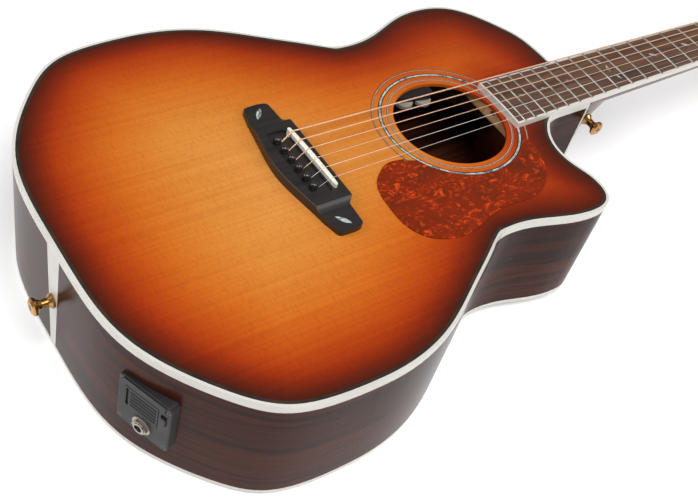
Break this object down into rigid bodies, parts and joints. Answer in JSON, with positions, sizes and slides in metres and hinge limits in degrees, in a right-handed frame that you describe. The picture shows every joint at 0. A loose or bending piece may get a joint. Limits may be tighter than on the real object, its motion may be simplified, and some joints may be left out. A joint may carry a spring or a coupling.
{
  "type": "acoustic guitar",
  "caption": "Steel-string acoustic guitar with cutaway, sunburst top, bound body, pickguard, geared tuners, pickup and battery box.",
  "frame": {"origin": "bottom centre of the bounding box, below the fretboard near the body joint, on the plane that the tail edge of the back touches", "axes": "+Y from the tail to the headstock tip, +Z out of the flat top face towards the player's view of the strings, +X to the treble side with the cutaway"},
  "size_m": [0.382, 1.0552, 0.1275],
  "materials": {
    "spruce_top": "gloss sunburst lacquer over straight-grained spruce",
    "rosewood": "gloss lacquer over dark streaked rosewood",
    "mahogany": "satin lacquer over red-brown mahogany",
    "ebony": "oiled satin",
    "board_wood": "oiled, open grain",
    "brace_wood": "bare sanded spruce",
    "ivory_trim": "polished ivory-white plastic",
    "purfling": "black and white laminated lines",
    "tortoise": "polished red-brown tortoise pattern",
    "abalone": "polished shell",
    "bone": "polished bone",
    "black_plastic": "fine moulded texture",
    "grey_plastic": "smooth translucent grey",
    "bronze": "bright wound wire",
    "steel": "bright drawn wire",
    "nickel": "polished nickel",
    "gold": "polished gold plate",
    "battery_case": "plain dark printed case, no marks"
  },
  "bodies": {
    "guitar": {"soundboard": "spruce_top", "back_plate": "rosewood", "side_bass": "rosewood", "side_treble": "rosewood", "trim_strips": "ivory_trim", "top_binding": "ivory_trim", "back_binding": "ivory_trim", "top_purfling": "purfling", "linings": "brace_wood", "neck_block": "mahogany", "tail_block": "mahogany", "top_braces": "brace_wood", "back_braces": "brace_wood", "bridge_plate": "rosewood", "rosette_abalone": "abalone", "rosette_rings": "purfling", "pickguard": "tortoise", "bridge": "ebony", "bridge_inlays": "abalone", "bridge_pins": "ebony", "saddle": "bone", "saddle_pickup": "black_plastic", "wound_strings": "bronze", "plain_strings": "steel", "neck": "mahogany", "heel_cap": "ivory_trim", "fretboard": "board_wood", "fretboard_binding": "ivory_trim", "frets": "nickel", "fretboard_inlays": "abalone", "nut": "bone", "truss_rod": "steel", "headstock_veneer": "ebony", "tuner_housings": "gold", "tuner_bushings": "gold", "screws": "gold", "strap_buttons": "gold", "battery_box": "black_plastic", "output_jack": "nickel", "preamp_pod": "black_plastic"},
    "battery_drawer": {"battery_drawer": "black_plastic", "battery": "battery_case"},
    "battery_latch": {"battery_latch": "black_plastic"},
    "volume_wheel": {"volume_wheel": "grey_plastic"},
    "tone_wheel": {"tone_wheel": "grey_plastic"},
    "truss_rod_nut": {"truss_rod_nut": "steel"},
    "tuner_post_1": {"tuner_post_1": "gold"},
    "tuner_knob_1": {"tuner_knob_1": "gold"},
    "tuner_post_2": {"tuner_post_2": "gold"},
    "tuner_knob_2": {"tuner_knob_2": "gold"},
    "tuner_post_3": {"tuner_post_3": "gold"},
    "tuner_knob_3": {"tuner_knob_3": "gold"},
    "tuner_post_4": {"tuner_post_4": "gold"},
    "tuner_knob_4": {"tuner_knob_4": "gold"},
    "tuner_post_5": {"tuner_post_5": "gold"},
    "tuner_knob_5": {"tuner_knob_5": "gold"},
    "tuner_post_6": {"tuner_post_6": "gold"},
    "tuner_knob_6": {"tuner_knob_6": "gold"}
  },
  "joints": [
    {"name": "tuner_knob_1_turn", "type": "hinge", "parent": "guitar", "child": "tuner_knob_1", "pos_m": [-0.0205, 0.39176, 0.08574], "axis": [-1, 0, 0], "continuous": true},
    {"name": "tuner_post_1_turn", "type": "hinge", "parent": "guitar", "child": "tuner_post_1", "pos_m": [-0.0205, 0.38928, 0.10745], "axis": [0, 0.225, 0.9744], "continuous": true},
    {"name": "tuner_knob_2_turn", "type": "hinge", "parent": "guitar", "child": "tuner_knob_2", "pos_m": [-0.0195, 0.43073, 0.07674], "axis": [-1, 0, 0], "continuous": true},
    {"name": "tuner_post_2_turn", "type": "hinge", "parent": "guitar", "child": "tuner_post_2", "pos_m": [-0.0195, 0.42826, 0.09845], "axis": [0, 0.225, 0.9744], "continuous": true},
    {"name": "tuner_knob_3_turn", "type": "hinge", "parent": "guitar", "child": "tuner_knob_3", "pos_m": [-0.0185, 0.46971, 0.06774], "axis": [-1, 0, 0], "continuous": true},
    {"name": "tuner_post_3_turn", "type": "hinge", "parent": "guitar", "child": "tuner_post_3", "pos_m": [-0.0185, 0.46723, 0.08946], "axis": [0, 0.225, 0.9744], "continuous": true},
    {"name": "tuner_knob_4_turn", "type": "hinge", "parent": "guitar", "child": "tuner_knob_4", "pos_m": [0.0185, 0.46971, 0.06774], "axis": [1, 0, 0], "continuous": true},
    {"name": "tuner_post_4_turn", "type": "hinge", "parent": "guitar", "child": "tuner_post_4", "pos_m": [0.0185, 0.46723, 0.08946], "axis": [0, 0.225, 0.9744], "continuous": true},
    {"name": "tuner_knob_5_turn", "type": "hinge", "parent": "guitar", "child": "tuner_knob_5", "pos_m": [0.0195, 0.43073, 0.07674], "axis": [1, 0, 0], "continuous": true},
    {"name": "tuner_post_5_turn", "type": "hinge", "parent": "guitar", "child": "tuner_post_5", "pos_m": [0.0195, 0.42826, 0.09845], "axis": [0, 0.225, 0.9744], "continuous": true},
    {"name": "tuner_knob_6_turn", "type": "hinge", "parent": "guitar", "child": "tuner_knob_6", "pos_m": [0.0205, 0.39176, 0.08574], "axis": [1, 0, 0], "continuous": true},
    {"name": "tuner_post_6_turn", "type": "hinge", "parent": "guitar", "child": "tuner_post_6", "pos_m": [0.0205, 0.38928, 0.10745], "axis": [0, 0.225, 0.9744], "continuous": true},
    {"name": "battery_drawer_slide", "type": "slide", "parent": "guitar", "child": "battery_drawer", "axis": [0.3567, -0.9342, 0], "range_m": [0, 0.05]},
    {"name": "battery_latch_slide", "type": "slide", "parent": "guitar", "child": "battery_latch", "axis": [0, 0, 1], "range_m": [0, 0.0025], "stiffness_N_per_m": 200},
    {"name": "tone_wheel_turn", "type": "hinge", "parent": "guitar", "child": "tone_wheel", "pos_m": [-0.04416, -0.17413, 0.1035], "axis": [0, 0, 1], "range_deg": [-135, 135]},
    {"name": "volume_wheel_turn", "type": "hinge", "parent": "guitar", "child": "volume_wheel", "pos_m": [-0.04104, -0.15641, 0.1035], "axis": [0, 0, 1], "range_deg": [-135, 135]},
    {"name": "truss_rod_nut_turn", "type": "hinge", "parent": "guitar", "child": "truss_rod_nut", "pos_m": [0, -0.07014, 0.1066], "axis": [0, 1, 0], "range_deg": [-180, 180]}
  ],
  "couplings": [
    {"joint": "tuner_post_1_turn", "follows": "tuner_knob_1_turn", "ratio": -0.055556},
    {"joint": "tuner_post_2_turn", "follows": "tuner_knob_2_turn", "ratio": -0.055556},
    {"joint": "tuner_post_3_turn", "follows": "tuner_knob_3_turn", "ratio": -0.055556},
    {"joint": "tuner_post_4_turn", "follows": "tuner_knob_4_turn", "ratio": 0.055556},
    {"joint": "tuner_post_5_turn", "follows": "tuner_knob_5_turn", "ratio": 0.055556},
    {"joint": "tuner_post_6_turn", "follows": "tuner_knob_6_turn", "ratio": 0.055556}
  ]
}
